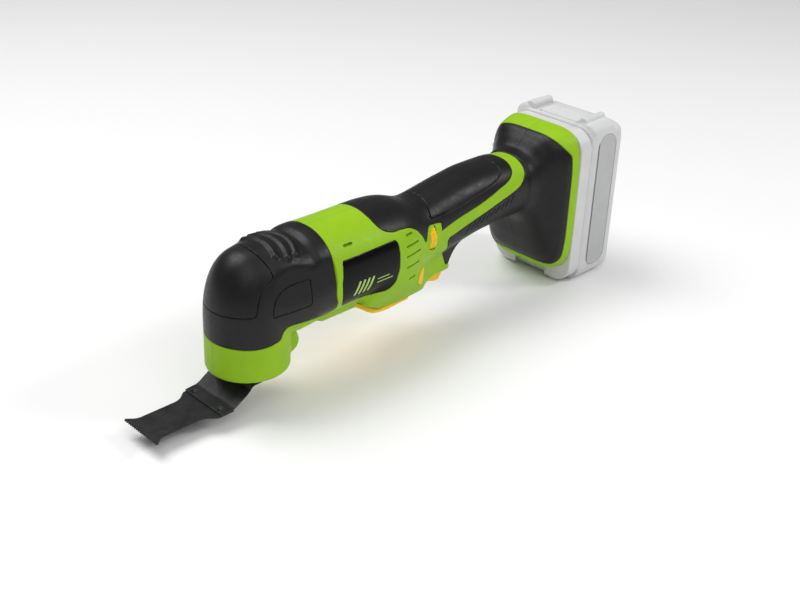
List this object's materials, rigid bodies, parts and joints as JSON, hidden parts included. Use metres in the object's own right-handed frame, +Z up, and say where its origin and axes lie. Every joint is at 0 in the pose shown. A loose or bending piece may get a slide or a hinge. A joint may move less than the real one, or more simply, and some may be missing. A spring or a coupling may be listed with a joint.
{
  "type": "cordless oscillating multi-tool",
  "caption": "Handheld cordless oscillating multi-tool with an angled head, offset cutting blade, soft grips and a slide-on battery pack.",
  "frame": {"origin": "bottom centre of the whole object: midway between the blade's cutting edge and the battery's back, on the joint between the housing halves, level with the battery's base", "axes": "-X points to the blade, +X to the battery, +Z is up along the output spindle, -Y is the side with the speed dial"},
  "size_m": [0.378, 0.07, 0.1183],
  "materials": {
    "green_plastic": "satin moulded nylon with a fine spark texture",
    "soft_grip": "soft-touch overmould, satin",
    "gloss_panel": "polished inlaid panel",
    "yellow_plastic": "satin",
    "battery_plastic": "pale grey satin",
    "battery_inlay": "grey satin",
    "bright_steel": "machined",
    "blade_steel": "black oxide",
    "gearbox_alloy": "die cast",
    "motor_steel": "zinc plated",
    "wound_core": "laminations and enamelled copper",
    "black_nylon": "glass-filled nylon",
    "red_lead": "wire insulation",
    "circuit_board": "solder mask",
    "cell_sleeve": null
  },
  "bodies": {
    "housing": {"housing_left": "green_plastic", "housing_right": "green_plastic", "nose_cap": "soft_grip", "head_grip_left": "soft_grip", "head_grip_right": "soft_grip", "hump_grip_left": "soft_grip", "hump_grip_right": "soft_grip", "handle_grip_left": "soft_grip", "handle_grip_right": "soft_grip", "rear_grip_left": "soft_grip", "rear_grip_right": "soft_grip", "label_panel_left": "gloss_panel", "label_panel_right": "gloss_panel", "housing_screw_1": "bright_steel", "housing_screw_2": "bright_steel", "housing_screw_3": "bright_steel", "housing_screw_4": "bright_steel", "housing_screw_5": "bright_steel", "housing_screw_6": "bright_steel", "gearbox_case": "gearbox_alloy", "spindle_bearing_lower": "bright_steel", "spindle_bearing_upper": "bright_steel", "lever_pin": "bright_steel", "motor_can": "motor_steel", "motor_end_bell": "black_nylon", "trigger_switch": "black_nylon", "control_board": "circuit_board", "motor_lead_red": "red_lead", "motor_lead_black": "black_nylon", "battery_shoe": "black_nylon", "terminal_block": "black_nylon"},
    "armature": {"rotor_shaft": "bright_steel", "armature_core": "wound_core", "cooling_fan": "black_nylon", "eccentric": "bright_steel", "drive_bearing": "bright_steel"},
    "spindle_set": {"spindle": "bright_steel", "oscillating_fork": "bright_steel", "blade_flange": "bright_steel", "blade": "blade_steel"},
    "clamp": {"clamp_bolt": "bright_steel", "clamp_spring": "bright_steel"},
    "lever": {"release_lever": "yellow_plastic"},
    "dial": {"speed_dial": "yellow_plastic"},
    "trigger_set": {"trigger": "yellow_plastic", "trigger_spring": "bright_steel"},
    "lock": {"lock_button": "yellow_plastic"},
    "battery": {"battery_case_front": "battery_plastic", "battery_case_rear": "battery_plastic", "battery_label_left": "battery_inlay", "battery_label_right": "battery_inlay", "battery_board": "circuit_board", "battery_cell_1": "cell_sleeve", "battery_cell_2": "cell_sleeve", "battery_cell_3": "cell_sleeve", "battery_cell_4": "cell_sleeve", "battery_cell_5": "cell_sleeve"},
    "latch": {"battery_latch": "battery_plastic"}
  },
  "joints": [
    {"name": "motor_spin", "type": "hinge", "parent": "housing", "child": "armature", "pos_m": [-0.046, 0, 0.072], "axis": [1, 0, 0], "continuous": true},
    {"name": "spindle_swing", "type": "hinge", "parent": "housing", "child": "spindle_set", "pos_m": [-0.112, 0, 0.056], "axis": [0, 0, 1], "range_deg": [-1.6, 1.6]},
    {"name": "clamp_slide", "type": "slide", "parent": "spindle_set", "child": "clamp", "axis": [0, 0, -1], "range_m": [0, 0.003], "deforming": ["clamp_spring"]},
    {"name": "lever_release", "type": "hinge", "parent": "housing", "child": "lever", "pos_m": [-0.088, 0, 0.034], "axis": [0, 1, 0], "range_deg": [0, 75]},
    {"name": "dial_turn", "type": "hinge", "parent": "housing", "child": "dial", "pos_m": [0.0178, -0.0129, 0.072], "axis": [1, 0, 0], "range_deg": [-135, 135]},
    {"name": "trigger_pull", "type": "slide", "parent": "housing", "child": "trigger_set", "axis": [0, 0, 1], "range_m": [0, 0.005], "stiffness_N_per_m": 800, "springref_m": -0.003, "deforming": ["trigger_spring"]},
    {"name": "lock_push", "type": "slide", "parent": "housing", "child": "lock", "axis": [0, 1, 0], "range_m": [0, 0.0035], "stiffness_N_per_m": 500, "springref_m": -0.002},
    {"name": "battery_slide", "type": "slide", "parent": "housing", "child": "battery", "axis": [0, 0, 1], "range_m": [0, 0.1]},
    {"name": "latch_press", "type": "slide", "parent": "battery", "child": "latch", "axis": [0, 0, -1], "range_m": [0, 0.003], "stiffness_N_per_m": 1200, "springref_m": -0.002}
  ],
  "couplings": [
    {"joint": "clamp_slide", "follows": "lever_release", "m_per_rad": 0.0022918}
  ]
}
